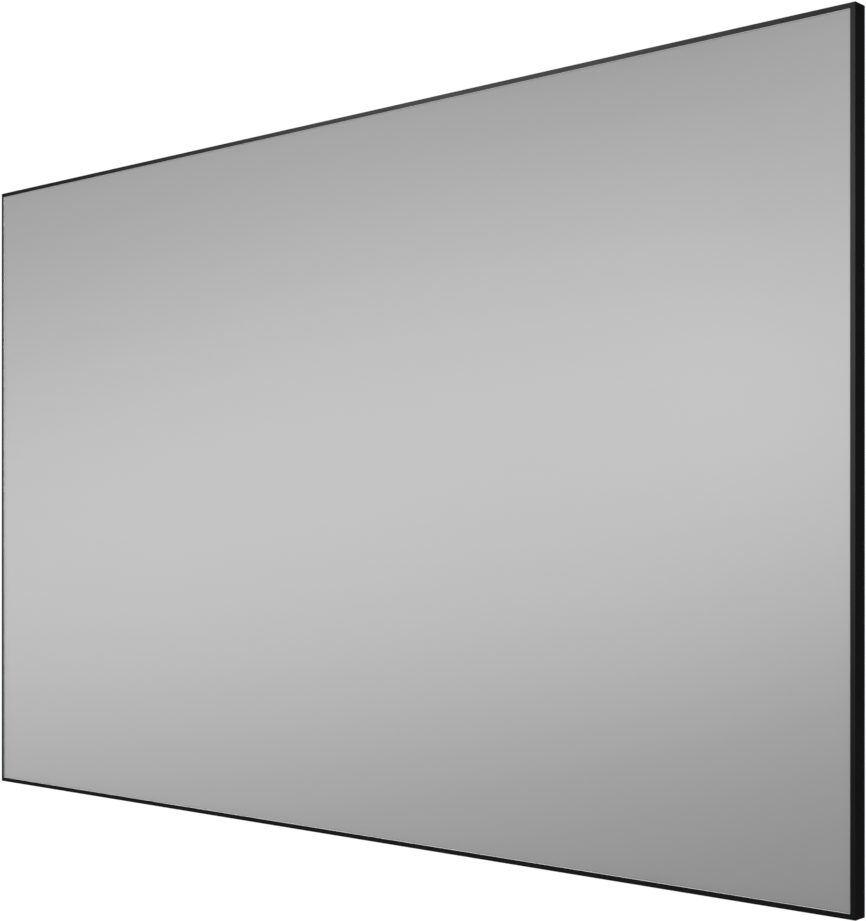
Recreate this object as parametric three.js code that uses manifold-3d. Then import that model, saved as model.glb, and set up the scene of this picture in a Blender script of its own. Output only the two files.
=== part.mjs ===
// Fixed frame projection screen for a wall: a grey screen cloth that rods and springs pull tight
// over an aluminium frame, with a thin black trim round its edge.
// Millimetres. X runs to the viewer's right, Y from the viewer to the wall, Z up.
// The origin is the middle of the whole screen with its wall brackets.

import * as THREE from 'three';
import { mergeVertices } from 'three/addons/utils/BufferGeometryUtils.js';
import Module from 'manifold-3d';

const wasm = await Module();
wasm.setup();

// Picture area, a 16:10 format of 100 inches from corner to corner
const imageWidth = 2154;
const imageHeight = 1346;

// Black trim: a channel of thin aluminium whose open side faces the middle of the screen
const bezelFace = 9.5;
const trimDepth = 30;
const trimWall = 1.5;
const trimRearLip = 9;
const trimChamfer = 0.8;
const trimEdgeRadius = 0.6;

// Play between pieces that meet, and the hairline at each mitre and butt joint
const clearance = 0.3;
const jointGap = 0.3;

// Screen cloth
const clothThickness = 0.6;
const clothCornerCut = 32;
const hemRun = 2.8;
const hemNotchWidth = 9;

// Frame rail, an aluminium extrusion with a hollow box, a spring trough and a slot
const railWidth = 47;
const railWall = 1.6;
const turnRadius = 4;
const turnLand = 2.5;
const frontSlope = 12;
const frontSetBack = 3.5;
const beadWidth = 3;
const troughDepth = 8.8;
const slotRecess = 2.3;
const slotInside = 16.8;
const slotMouth = 8;

// Steel plates that slide in the slots, and the grub screws that clamp them
const plateThickness = 4;
const elbowLeg = 120;
const jointPlateLength = 220;
const grubRadius = 2.5;
const grubSocket = 1.25;
const grubSocketDepth = 2.5;
const grubEndMargin = 16;

// Tension rods and springs
const rodRadius = 2;
const rodEndGap = 4;
const springPitch = 260;
const springMargin = 20;
const coilRadius = 2.2;
const coilTurns = 3;
const wireRadius = 0.5;
const wireSeat = 0.15;
const hookDrop = 2.6;

// Centre support bar and its T-shaped brackets
const barWidth = 36;
const barDepth = 15;
const barWall = 1.5;
const teeThickness = 2;
const teeHalfWidth = 40;
const teeStemHalfWidth = 15;
const teeStemLength = 46;
const teeCornerRadius = 4;
const teeScrewSpread = 28;

// Button-head screws of the T-shaped brackets
const screwRadius = 2.4;
const screwLength = 8.2;
const screwHeadRadius = 4.5;
const screwHeadHeight = 2;
const screwSocket = 1.5;

// Wall brackets, bent from steel strip
const hangerWidth = 70;
const hangerThickness = 2;
const hangerHeight = 32;
const hangerBendRadius = 1;
const hangerHoleRadius = 2.6;
const hangerHoleSpread = 23;
const hangerBay = 1;

// Straight steps that stand for a full circle on turned pieces and holes
const roundSteps = 8;

// Overall sizes, and depths from the front plane of the trim
const outerWidth = imageWidth + 2 * bezelFace;
const outerHeight = imageHeight + 2 * bezelFace;
const clothFront = trimWall + clearance;
const clothBack = clothFront + clothThickness;
const railFront = clothBack + clearance;
const railRear = trimDepth - railFront;
const slotFace = railRear - slotRecess;
const slotUnderLip = slotFace - railWall;
const slotFloor = railFront + frontSetBack + railWall;
const troughFloor = railRear - troughDepth;
const wallPlane = trimDepth + clearance + hangerThickness;

// Distances in from the outer edge of the screen
const railOuter = railFront;
const railInner = railOuter + railWidth;
const slotEnd = railInner - railWall;
const slotStart = slotEnd - slotInside;
const slotLip = (slotInside - slotMouth) / 2;
const mouthStart = slotStart + slotLip;
const mouthEnd = slotEnd - slotLip;
const mouthMiddle = (mouthStart + mouthEnd) / 2;
const pocketInside = rodRadius + clearance;
const pocketOutside = pocketInside + clothThickness;
const rodInset = railOuter + beadWidth + hemRun + pocketOutside;
const rodDepth = railRear + clearance - pocketInside;

// Each side in its own coordinates: u runs in from the outer edge, y is the depth and t runs
// along the side. The side is then turned about the depth axis to its place.
const sides = {
  bottom: { turn: 0, length: outerWidth, reach: outerHeight / 2, halves: ['right', 'left'] },
  right: { turn: -Math.PI / 2, length: outerHeight, reach: outerWidth / 2 },
  top: { turn: Math.PI, length: outerWidth, reach: outerHeight / 2, halves: ['left', 'right'] },
  left: { turn: Math.PI / 2, length: outerHeight, reach: outerWidth / 2 },
};

const screen = new THREE.Group();
screen.position.y = -wallPlane / 2;

const finishes = {
  trim: { color: 0x17181a, roughness: 0.42, metalness: 0.6 },
  cloth: { color: 0xa4a4a4, roughness: 0.55, metalness: 0.1 },
  aluminium: { color: 0xb9bcc0, roughness: 0.38, metalness: 0.9 },
  zinc: { color: 0xa9adb0, roughness: 0.35, metalness: 0.95 },
  steel: { color: 0x2a2b2d, roughness: 0.5, metalness: 0.7 },
  spring: { color: 0x8f9398, roughness: 0.3, metalness: 1 },
};

function addPiece(name, geometry, finish, group) {
  const mesh = new THREE.Mesh(geometry, new THREE.MeshStandardMaterial(finishes[finish]));
  mesh.name = name;
  group.add(mesh);
}

// Solids for joining and cutting
function toSolid(geometry) {
  const bare = geometry.clone();
  bare.deleteAttribute('normal');
  bare.deleteAttribute('uv');
  const merged = mergeVertices(bare);
  return new wasm.Manifold(new wasm.Mesh({
    numProp: 3,
    vertProperties: new Float32Array(merged.attributes.position.array),
    triVerts: new Uint32Array(merged.index.array),
  }));
}

function toGeometry(solid) {
  const mesh = solid.getMesh();
  const geometry = new THREE.BufferGeometry();
  geometry.setAttribute('position', new THREE.BufferAttribute(mesh.vertProperties, 3));
  geometry.setIndex(new THREE.BufferAttribute(mesh.triVerts, 1));
  geometry.computeVertexNormals();
  return geometry;
}

// A closed outline through corners given as [x, y] or [x, y, fillet radius]
function outline(corners, Kind = THREE.Shape) {
  const path = new Kind();
  corners.forEach(([x, y, radius = 0], i) => {
    const corner = new THREE.Vector2(x, y);
    if (radius <= 0) {
      if (i === 0) path.moveTo(x, y);
      else path.lineTo(x, y);
      return;
    }
    const [beforeX, beforeY] = corners[(i + corners.length - 1) % corners.length];
    const [afterX, afterY] = corners[(i + 1) % corners.length];
    const before = new THREE.Vector2(beforeX, beforeY).sub(corner).normalize();
    const after = new THREE.Vector2(afterX, afterY).sub(corner).normalize();
    const half = Math.acos(before.dot(after)) / 2;
    const start = corner.clone().addScaledVector(before, radius / Math.tan(half));
    const end = corner.clone().addScaledVector(after, radius / Math.tan(half));
    const middle = before.add(after).setLength(radius / Math.sin(half)).add(corner);
    const clockwise = start.clone().sub(middle).cross(end.clone().sub(middle)) < 0;
    if (i === 0) path.moveTo(start.x, start.y);
    else path.lineTo(start.x, start.y);
    path.absarc(middle.x, middle.y, radius, start.sub(middle).angle(), end.sub(middle).angle(), clockwise);
  });
  return path;
}

// From (u, y, t) to the bottom side's place
function atEdge(geometry, side) {
  const basis = new THREE.Matrix4().makeBasis(
    new THREE.Vector3(0, 0, 1),
    new THREE.Vector3(0, 1, 0),
    new THREE.Vector3(-1, 0, 0),
  );
  return geometry.applyMatrix4(basis).translate(0, 0, -side.reach);
}

// A section drawn in (u, y) and run along a side from one t to another. An end at the side's
// corner is mitred, and each end stops half a joint gap short.
function profileRun(section, side, from, to, curveSegments) {
  const settings = { depth: to - from, bevelEnabled: false, curveSegments };
  const geometry = new THREE.ExtrudeGeometry(section, settings);
  const place = geometry.attributes.position;
  for (let i = 0; i < place.count; i += 1) {
    const inset = place.getX(i);
    const atStart = place.getZ(i) < (to - from) / 2;
    const start = from > -side.length / 2 ? from : from + inset;
    const end = to < side.length / 2 ? to : to - inset;
    place.setZ(i, atStart ? start + jointGap / 2 : end - jointGap / 2);
  }
  return geometry;
}

// The stretches of a side: both halves of a long side, or the whole of a short one
function stretches(name, side) {
  const end = side.length / 2;
  if (!side.halves) return [{ label: name, from: -end, to: end }];
  return [
    { label: `${name}_${side.halves[0]}`, from: -end, to: 0 },
    { label: `${name}_${side.halves[1]}`, from: 0, to: end },
  ];
}

function trimSection() {
  const chamfer = Math.min(trimChamfer, 0.8 * trimWall);
  return outline([
    [0, 0, trimEdgeRadius],
    [bezelFace - chamfer, 0],
    [bezelFace, chamfer],
    [bezelFace, trimWall],
    [trimWall, trimWall],
    [trimWall, trimDepth - trimWall],
    [trimRearLip, trimDepth - trimWall],
    [trimRearLip, trimDepth],
    [0, trimDepth, trimEdgeRadius],
  ]);
}

function railSection() {
  const web = slotStart - railWall;
  const slopeStart = railOuter + turnRadius + turnLand;
  const setBack = railFront + frontSetBack;
  const section = outline([
    [railOuter, railFront, turnRadius],
    [slopeStart, railFront],
    [slopeStart + frontSlope, setBack],
    [railInner, setBack],
    [railInner, slotFace],
    [mouthEnd, slotFace],
    [mouthEnd, slotUnderLip],
    [slotEnd, slotUnderLip],
    [slotEnd, slotFloor],
    [slotStart, slotFloor],
    [slotStart, slotUnderLip],
    [mouthStart, slotUnderLip],
    [mouthStart, slotFace],
    [web, slotFace],
    [web, troughFloor],
    [railOuter + beadWidth, troughFloor],
    [railOuter + beadWidth, railRear, 0.499 * beadWidth],
    [railOuter, railRear, 0.499 * beadWidth],
  ]);
  section.holes.push(outline([
    [railOuter + railWall, railFront + railWall, Math.max(turnRadius - railWall, 0)],
    [slopeStart, railFront + railWall],
    [slopeStart + frontSlope, setBack + railWall],
    [web, setBack + railWall],
    [web, troughFloor - railWall],
    [railOuter + railWall, troughFloor - railWall],
  ], THREE.Path));
  return section;
}

// Places of the springs along a stretch, evenly spaced between the plates in the slot
function springPlaces(side, { from, to }) {
  const pastElbow = slotStart + elbowLeg + springMargin;
  const pastJoint = jointPlateLength / 2 + springMargin;
  const first = from > -side.length / 2 ? from + pastJoint : from + pastElbow;
  const last = to < side.length / 2 ? to - pastJoint : to - pastElbow;
  const gaps = Math.max(2, Math.round((last - first) / springPitch));
  return Array.from({ length: gaps + 1 }, (_, i) => first + ((last - first) * i) / gaps);
}

// Wire of one spring, from its loop round the rod through the coil to its hook over the slot lip.
// The pull seats the loop on the far side of the rod.
function springWire() {
  const loop = rodRadius + wireRadius + wireSeat;
  const loopMiddle = rodInset + 2 * wireSeat;
  const coilStart = rodInset + pocketOutside + clearance + wireRadius;
  const coilEnd = slotStart - railWall - clearance - wireRadius;
  const overLip = slotFace + clearance + wireRadius;
  const pastLip = mouthStart + clearance + wireRadius;
  const points = [];
  for (let degrees = -60; degrees >= -300; degrees -= 60) {
    const angle = THREE.MathUtils.degToRad(degrees);
    points.push([loopMiddle + loop * Math.cos(angle), rodDepth + loop * Math.sin(angle), 0]);
  }
  const coilSteps = 5 * coilTurns;
  for (let i = 0; i <= coilSteps; i += 1) {
    const angle = (2 * Math.PI * coilTurns * i) / coilSteps;
    const along = coilStart + ((coilEnd - coilStart) * i) / coilSteps;
    points.push([along, rodDepth + coilRadius * Math.cos(angle), coilRadius * Math.sin(angle)]);
  }
  points.push([pastLip - hookDrop, overLip + clearance, 0]);
  points.push([pastLip - clearance, overLip, 0]);
  points.push([pastLip + clearance, overLip - hookDrop, 0]);
  return new THREE.CatmullRomCurve3(points.map((point) => new THREE.Vector3(...point)));
}

function springSolid() {
  const radius = wireRadius * Math.SQRT2;
  const section = outline([[radius, 0], [0, radius], [-radius, 0], [0, -radius]]);
  const wire = springWire();
  const settings = { steps: wire.points.length, extrudePath: wire, bevelEnabled: false };
  return toSolid(new THREE.ExtrudeGeometry(section, settings));
}

// A rod with the springs that hook on it
function tensionRod(side, stretch) {
  const endInset = clothCornerCut + rodEndGap;
  const from = stretch.from > -side.length / 2 ? stretch.from + rodEndGap : stretch.from + endInset;
  const to = stretch.to < side.length / 2 ? stretch.to - rodEndGap : stretch.to - endInset;
  const bar = new THREE.CylinderGeometry(rodRadius, rodRadius, to - from, roundSteps);
  bar.rotateX(Math.PI / 2).translate(rodInset, rodDepth, (from + to) / 2);
  const spring = springSolid();
  const places = springPlaces(side, stretch);
  return places.reduce((rod, t) => rod.add(spring.translate([0, 0, t])), toSolid(bar));
}

// The cloth as a tray: one ring of four corners for each point of its section, from the front
// sheet round the rail to the end of the rear run, and back along the inner face
function clothTray() {
  const turn = railOuter + turnRadius;
  const bead = railOuter + beadWidth / 2;
  const beadDepth = railRear - beadWidth / 2;
  const outerTurn = turn - clothFront;
  const innerTurn = turn - clothBack;
  const outerBead = bead - clothFront;
  const innerBead = bead - clothBack;
  const section = new THREE.Path();
  section.moveTo(turn + turnLand, clothFront);
  section.absarc(turn, turn, outerTurn, -Math.PI / 2, -Math.PI, true);
  section.absarc(bead, beadDepth, outerBead, Math.PI, Math.PI / 2, true);
  section.lineTo(rodInset, beadDepth + outerBead);
  section.lineTo(rodInset, beadDepth + innerBead);
  section.absarc(bead, beadDepth, innerBead, Math.PI / 2, Math.PI, false);
  section.absarc(turn, turn, innerTurn, Math.PI, 1.5 * Math.PI, false);
  section.lineTo(turn + turnLand, clothBack);
  const rings = section.getPoints(3);
  const places = [];
  for (const { x: inset, y: depth } of rings) {
    for (const [right, up] of [[1, 1], [-1, 1], [-1, -1], [1, -1]]) {
      places.push(right * (outerWidth / 2 - inset), depth, up * (outerHeight / 2 - inset));
    }
  }
  const last = 4 * (rings.length - 1);
  const faces = [0, 1, 2, 0, 2, 3, last, last + 2, last + 1, last, last + 3, last + 2];
  for (let ring = 0; ring < last; ring += 4) {
    for (let corner = 0; corner < 4; corner += 1) {
      const next = (corner + 1) % 4;
      faces.push(ring + next, ring + corner, ring + 4 + corner);
      faces.push(ring + next, ring + 4 + corner, ring + 4 + next);
    }
  }
  const tray = new THREE.BufferGeometry();
  tray.setAttribute('position', new THREE.Float32BufferAttribute(places, 3));
  tray.setIndex(faces);
  return toSolid(tray);
}

// Hem pocket of one side: a sleeve for the rods under the end of the rear run
function hemPocket(side) {
  const ring = (radius, Kind) => outline([
    [rodInset - radius, rodDepth - radius, pocketInside],
    [rodInset + radius, rodDepth - radius, pocketInside],
    [rodInset + radius, rodDepth + radius, pocketInside],
    [rodInset - radius, rodDepth + radius, pocketInside],
  ], Kind);
  const sleeve = ring(pocketOutside, THREE.Shape);
  sleeve.holes.push(ring(pocketInside, THREE.Path));
  const length = side.length - 2 * clothCornerCut;
  const pocket = new THREE.ExtrudeGeometry(sleeve, { depth: length, bevelEnabled: false, curveSegments: 1 });
  return pocket.translate(0, 0, -length / 2);
}

function screenCloth() {
  let cloth = clothTray();
  for (const [name, side] of Object.entries(sides)) {
    cloth = cloth.add(toSolid(atEdge(hemPocket(side), side).rotateY(side.turn)));
    const notchStart = rodInset - rodRadius - 2 * wireRadius - clearance;
    const notchEnd = rodInset + pocketOutside + clearance;
    const notchDepth = 2 * pocketOutside + 2 * clothThickness;
    for (const stretch of stretches(name, side)) {
      for (const t of springPlaces(side, stretch)) {
        const notch = new THREE.BoxGeometry(notchEnd - notchStart, notchDepth, hemNotchWidth);
        notch.translate((notchStart + notchEnd) / 2, rodDepth, t);
        cloth = cloth.subtract(toSolid(atEdge(notch, side).rotateY(side.turn)));
      }
    }
  }
  const cutFront = railFront + turnRadius;
  for (const [right, up] of [[1, 1], [-1, 1], [-1, -1], [1, -1]]) {
    const cut = new THREE.BoxGeometry(2 * clothCornerCut, trimDepth, 2 * clothCornerCut);
    cut.translate((right * outerWidth) / 2, cutFront + trimDepth / 2, (up * outerHeight) / 2);
    cloth = cloth.subtract(toSolid(cut));
  }
  return toGeometry(cloth);
}

// A grub screw stands on the slot's floor and presses its plate against the slot's lips
function withGrubScrews(plate, plateRear, places) {
  const length = plateRear - plateThickness / 2 - (slotFloor + clearance);
  return places.reduce((solid, [x, z]) => {
    const grub = new THREE.CylinderGeometry(grubRadius, grubRadius, length, roundSteps);
    grub.translate(x, slotFloor + clearance + length / 2, z);
    const socket = new THREE.CylinderGeometry(grubSocket, grubSocket, 2 * grubSocketDepth, 6);
    socket.translate(x, plateRear, z);
    return solid.add(toSolid(grub)).subtract(toSolid(socket));
  }, plate);
}

// A flat plate drawn in (x, z), with its rear face at the given depth
function flatPlate(shape, thickness, rear) {
  const plate = new THREE.ExtrudeGeometry(shape, { depth: thickness, bevelEnabled: false, curveSegments: 2 });
  return toSolid(plate.rotateX(Math.PI / 2).translate(0, rear, 0));
}

// Elbow for a corner whose outer point is the origin, with legs along +X and +Z
function elbow() {
  const outer = slotStart + clearance;
  const inner = slotEnd - clearance;
  const tip = slotStart + elbowLeg;
  const rear = slotUnderLip - clearance;
  const shape = outline([[outer, outer], [tip, outer], [tip, inner], [inner, inner], [inner, tip], [outer, tip]]);
  const middle = (outer + inner) / 2;
  const near = inner + grubEndMargin;
  const far = tip - grubEndMargin;
  const screws = [[near, middle], [far, middle], [middle, near], [middle, far]];
  return toGeometry(withGrubScrews(flatPlate(shape, plateThickness, rear), rear, screws));
}

function screwHole(x, depth, z, length) {
  const hole = new THREE.CylinderGeometry(screwRadius + clearance, screwRadius + clearance, length, roundSteps);
  return toSolid(hole.translate(x, depth, z));
}

// Joint plate of the bottom rail, lying across the joint at the middle
function jointPlate() {
  const middle = mouthMiddle - outerHeight / 2;
  const half = jointPlateLength / 2;
  const halfHeight = slotInside / 2 - clearance;
  const rear = slotUnderLip - clearance;
  const shape = outline([
    [-half, middle - halfHeight],
    [half, middle - halfHeight],
    [half, middle + halfHeight],
    [-half, middle + halfHeight],
  ]);
  const near = teeHalfWidth + grubEndMargin / 2;
  const far = half - grubEndMargin;
  const screws = [-far, -near, near, far].map((x) => [x, middle]);
  const plate = withGrubScrews(flatPlate(shape, plateThickness, rear), rear, screws);
  const holes = [-teeScrewSpread, teeScrewSpread].map((x) => screwHole(x, rear, middle, 3 * plateThickness));
  return toGeometry(holes.reduce((solid, hole) => solid.subtract(hole), plate));
}

// Where the screws of the bottom T-shaped bracket stand, in (x, z)
function teeScrews() {
  const edge = railInner - outerHeight / 2;
  const rail = mouthMiddle - outerHeight / 2;
  return [
    [-teeScrewSpread, rail],
    [teeScrewSpread, rail],
    [0, edge + teeStemLength * 0.3],
    [0, edge + teeStemLength * 0.75],
  ];
}

// T-shaped bracket: its head lies on the rail's slot and its stem on the support bar
function barBracket() {
  const foot = slotStart - outerHeight / 2;
  const edge = railInner - outerHeight / 2;
  const tip = edge + teeStemLength;
  const shape = outline([
    [-teeHalfWidth, foot, teeCornerRadius],
    [teeHalfWidth, foot, teeCornerRadius],
    [teeHalfWidth, edge, teeCornerRadius],
    [teeStemHalfWidth, edge, teeCornerRadius],
    [teeStemHalfWidth, tip, teeCornerRadius],
    [-teeStemHalfWidth, tip, teeCornerRadius],
    [-teeStemHalfWidth, edge, teeCornerRadius],
    [-teeHalfWidth, edge, teeCornerRadius],
  ]);
  const rear = slotFace + clearance + teeThickness;
  const plate = flatPlate(shape, teeThickness, rear);
  const holes = teeScrews().map(([x, z]) => screwHole(x, rear, z, 3 * teeThickness));
  return toGeometry(holes.reduce((solid, hole) => solid.subtract(hole), plate));
}

function supportBar() {
  const length = outerHeight - 2 * (railInner + clearance);
  const front = slotFace - barDepth;
  const half = barWidth / 2;
  const section = outline([[-half, front, 1], [half, front, 1], [half, slotFace, 1], [-half, slotFace, 1]]);
  section.holes.push(outline([
    [-half + barWall, front + barWall],
    [half - barWall, front + barWall],
    [half - barWall, slotFace - barWall],
    [-half + barWall, slotFace - barWall],
  ], THREE.Path));
  const tube = new THREE.ExtrudeGeometry(section, { depth: length, bevelEnabled: false, curveSegments: 2 });
  const onBar = teeScrews().slice(2);
  const holes = [...onBar, ...onBar.map(([x, z]) => [x, -z])].map(([x, z]) => screwHole(x, slotFace, z, 3 * barWall));
  return toGeometry(holes.reduce((solid, hole) => solid.subtract(hole), toSolid(tube.translate(0, 0, -length / 2))));
}

function buttonScrew() {
  const seat = slotFace + 2 * clearance + teeThickness;
  const profile = [
    [0, -screwLength],
    [screwRadius, -screwLength],
    [screwRadius, 0],
    [screwHeadRadius, 0],
    [screwHeadRadius * 0.9, screwHeadHeight * 0.6],
    [screwHeadRadius * 0.6, screwHeadHeight],
    [0, screwHeadHeight],
  ].map(([radius, height]) => new THREE.Vector2(radius, height));
  const socket = new THREE.CylinderGeometry(screwSocket, screwSocket, screwHeadHeight, 6);
  socket.translate(0, screwHeadHeight, 0);
  const screw = toSolid(new THREE.LatheGeometry(profile, roundSteps)).subtract(toSolid(socket));
  return toGeometry(screw).translate(0, seat, 0);
}

// Wall bracket: a plate on the wall, an arm into the slot's mouth and a tongue behind its lip
function wallBracket(side, t) {
  const armNear = mouthStart + clearance;
  const armFar = armNear + hangerThickness;
  const tongueRear = slotUnderLip - clearance;
  const tongueFront = tongueRear - hangerThickness;
  const tip = slotStart + 2 * clearance;
  const plateFront = wallPlane - hangerThickness;
  const outerBend = hangerBendRadius + hangerThickness;
  const section = outline([
    [tip, tongueFront],
    [armFar, tongueFront, outerBend],
    [armFar, wallPlane, outerBend],
    [armFar - hangerHeight, wallPlane],
    [armFar - hangerHeight, plateFront],
    [armNear, plateFront, hangerBendRadius],
    [armNear, tongueRear, hangerBendRadius],
    [tip, tongueRear],
  ]);
  const settings = { depth: hangerWidth, bevelEnabled: false, curveSegments: 2 };
  const strip = toSolid(new THREE.ExtrudeGeometry(section, settings).translate(0, 0, -hangerWidth / 2));
  const holes = [-hangerHoleSpread, hangerHoleSpread].map((place) => {
    const hole = new THREE.CylinderGeometry(hangerHoleRadius, hangerHoleRadius, 3 * hangerThickness, roundSteps);
    return toSolid(hole.translate(armFar - hangerHeight / 2, wallPlane, place));
  });
  const bracket = toGeometry(holes.reduce((solid, hole) => solid.subtract(hole), strip));
  return atEdge(bracket.translate(0, 0, t), side);
}

// A wall bracket stands midway between two springs, so nothing in the trough is in its way
function hangerPlace(side, stretch) {
  const places = springPlaces(side, stretch);
  const fromCorner = stretch.from > -side.length / 2 ? places.reverse() : places;
  return (fromCorner[hangerBay] + fromCorner[hangerBay + 1]) / 2;
}

for (const [name, side] of Object.entries(sides)) {
  const edge = new THREE.Group();
  edge.rotation.y = side.turn;
  screen.add(edge);
  for (const stretch of stretches(name, side)) {
    const { label, from, to } = stretch;
    addPiece(`trim_${label}`, atEdge(profileRun(trimSection(), side, from, to, 2), side), 'trim', edge);
    addPiece(`rail_${label}`, atEdge(profileRun(railSection(), side, from, to, 3), side), 'aluminium', edge);
    addPiece(`tension_rod_${label}`, atEdge(toGeometry(tensionRod(side, stretch)), side), 'spring', edge);
    if (side.halves) {
      addPiece(`wall_bracket_${label}`, wallBracket(side, hangerPlace(side, stretch)), 'steel', edge);
    }
  }
}

const corners = [
  ['bottom_left', -1, -1, 0],
  ['bottom_right', 1, -1, -Math.PI / 2],
  ['top_right', 1, 1, Math.PI],
  ['top_left', -1, 1, Math.PI / 2],
];
for (const [label, right, up, turn] of corners) {
  const corner = new THREE.Group();
  corner.position.set((right * outerWidth) / 2, 0, (up * outerHeight) / 2);
  corner.rotation.y = turn;
  addPiece(`elbow_${label}`, elbow(), 'zinc', corner);
  screen.add(corner);
}

for (const [label, turn] of [['bottom', 0], ['top', Math.PI]]) {
  const middle = new THREE.Group();
  middle.rotation.y = turn;
  addPiece(`joint_plate_${label}`, jointPlate(), 'zinc', middle);
  addPiece(`bar_bracket_${label}`, barBracket(), 'zinc', middle);
  teeScrews().forEach(([x, z], i) => {
    addPiece(`bar_screw_${label}_${i + 1}`, buttonScrew().translate(x, 0, z), 'steel', middle);
  });
  screen.add(middle);
}

addPiece('support_bar', supportBar(), 'aluminium', screen);
addPiece('screen_cloth', screenCloth(), 'cloth', screen);

export default screen;
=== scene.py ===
# %% [markdown]
# A fixed frame projection screen
#
# The real object is a sheet of grey screen cloth, pulled tight over an aluminium frame and edged with a
# thin black trim. The frame, its plates and its brackets are already there as solid pieces at their true
# size. This lesson gives every surface its finish and remakes the pieces that a plain solid can't show
# well: the cloth, the springs and rods that pull it, the bent and punched steel, and the screws.
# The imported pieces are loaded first, because everything else takes its place from them.

# %% Load the frame
import math

import bmesh
import bpy
from mathutils import Matrix, Vector


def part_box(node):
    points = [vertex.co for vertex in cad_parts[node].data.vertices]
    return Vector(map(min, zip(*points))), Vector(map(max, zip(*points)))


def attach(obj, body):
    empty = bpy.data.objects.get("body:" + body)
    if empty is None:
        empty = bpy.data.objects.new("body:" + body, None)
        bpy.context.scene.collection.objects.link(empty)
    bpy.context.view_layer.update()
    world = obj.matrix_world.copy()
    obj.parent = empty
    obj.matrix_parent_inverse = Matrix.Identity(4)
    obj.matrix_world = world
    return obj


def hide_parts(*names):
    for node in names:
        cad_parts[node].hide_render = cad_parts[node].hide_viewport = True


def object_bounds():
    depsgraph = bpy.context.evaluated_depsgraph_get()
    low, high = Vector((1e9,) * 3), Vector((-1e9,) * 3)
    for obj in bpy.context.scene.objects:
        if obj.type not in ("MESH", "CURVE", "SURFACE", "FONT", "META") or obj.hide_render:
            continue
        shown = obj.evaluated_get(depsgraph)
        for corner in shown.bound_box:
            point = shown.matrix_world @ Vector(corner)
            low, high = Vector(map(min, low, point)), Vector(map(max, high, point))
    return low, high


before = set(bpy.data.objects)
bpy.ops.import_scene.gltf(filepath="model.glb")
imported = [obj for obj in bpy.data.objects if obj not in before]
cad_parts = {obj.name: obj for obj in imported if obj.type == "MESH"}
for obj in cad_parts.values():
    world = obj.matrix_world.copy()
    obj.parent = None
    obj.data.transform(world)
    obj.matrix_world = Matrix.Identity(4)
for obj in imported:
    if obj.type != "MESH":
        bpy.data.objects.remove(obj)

cad_box = [list(corner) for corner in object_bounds()]
print("pieces in the frame:", len(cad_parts), "box:", cad_box)

# %% [markdown]
# Camera
#
# The photo was taken from the right, with the camera level. A camera can be placed by eye, but the
# corners of a flat rectangle fix it well: their rows and columns in the picture give the distance, the
# turn and the focal length in pixels. Blender wants the focal length in millimetres of a 36 mm sensor,
# which lies along the picture's longer side, so the pixels are scaled by that side. The horizon is
# below the middle of the picture while the camera stays level, and a small vertical shift does that.

# %% Place the camera
MM = 0.001
PHOTO_WIDTH, PHOTO_HEIGHT = 866, 921
FOCAL_PIXELS = 1706
HORIZON_ROW = 533.8
SENSOR = 36
CAMERA_TURN = math.radians(41.39)
CAMERA_PLACE = Vector((2.290, -2.330, -0.108))


def add_object(name, data):
    """A new object in the scene that shows this mesh, curve, lamp or camera"""
    made = bpy.data.objects.new(name, data)
    bpy.context.scene.collection.objects.link(made)
    return made


camera_data = bpy.data.cameras.new("camera")
camera_data.sensor_width = SENSOR
camera_data.lens = FOCAL_PIXELS * SENSOR / max(PHOTO_WIDTH, PHOTO_HEIGHT)
camera_data.shift_y = (HORIZON_ROW - PHOTO_HEIGHT / 2) / max(PHOTO_WIDTH, PHOTO_HEIGHT)
camera = add_object("camera", camera_data)
camera.location = CAMERA_PLACE
camera.rotation_euler = (math.pi / 2, 0, CAMERA_TURN)
bpy.context.scene.camera = camera
bpy.context.scene.view_settings.view_transform = "Standard"
print(f"lens {camera_data.lens:.2f} mm, shift {camera_data.shift_y:.4f}")

# %% [markdown]
# Helpers for node trees
#
# Every finish below is a small tree of nodes. Writing the nodes one by one takes three lines each, so
# one helper makes a node, sets its options, and fills its inputs with a number or with a link. Sums
# are needed most, and they get a short helper of their own.

# %% Make a node
def node(tree, kind, inputs=None, **options):
    made = tree.nodes.new(kind)
    for name, value in options.items():
        setattr(made, name, value)
    for name, value in (inputs or {}).items():
        if isinstance(value, bpy.types.NodeSocket):
            tree.links.new(value, made.inputs[name])
        else:
            made.inputs[name].default_value = value
    return made


def maths(tree, operation, *values):
    """What a Math node makes of two or three numbers or links"""
    return node(tree, "ShaderNodeMath", dict(enumerate(values)), operation=operation).outputs[0]


# %% [markdown]
# Studio
#
# The picture has a white background and a plain pale floor. More light would turn the background white,
# but it would wash out the screen too. So the light stays at a plain level, and only the rays that look
# straight at the background, or see it mirrored in metal, find it white. The floor is lit as a pale
# surface, with a little glow of its own, so that it reads white and still takes the soft shadow.

# %% World
AMBIENT = 0.4


def seen_directly(tree):
    """One for camera, glossy and transmission rays, and nought for the rays that carry diffuse light"""
    path = node(tree, "ShaderNodeLightPath").outputs
    either = maths(tree, "MAXIMUM", path["Is Camera Ray"], path["Is Glossy Ray"])
    return maths(tree, "MAXIMUM", either, path["Is Transmission Ray"])


world = bpy.data.worlds.new("studio")
world.use_nodes = True
tree = world.node_tree
tree.nodes.clear()
level = node(tree, "ShaderNodeMapRange",
             {"Value": seen_directly(tree), "To Min": AMBIENT, "To Max": 1.0}).outputs["Result"]
background = node(tree, "ShaderNodeBackground", {"Color": (1, 1, 1, 1), "Strength": level})
node(tree, "ShaderNodeOutputWorld", {"Surface": background.outputs[0]})
bpy.context.scene.world = world
print("ambient level:", AMBIENT)

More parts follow.
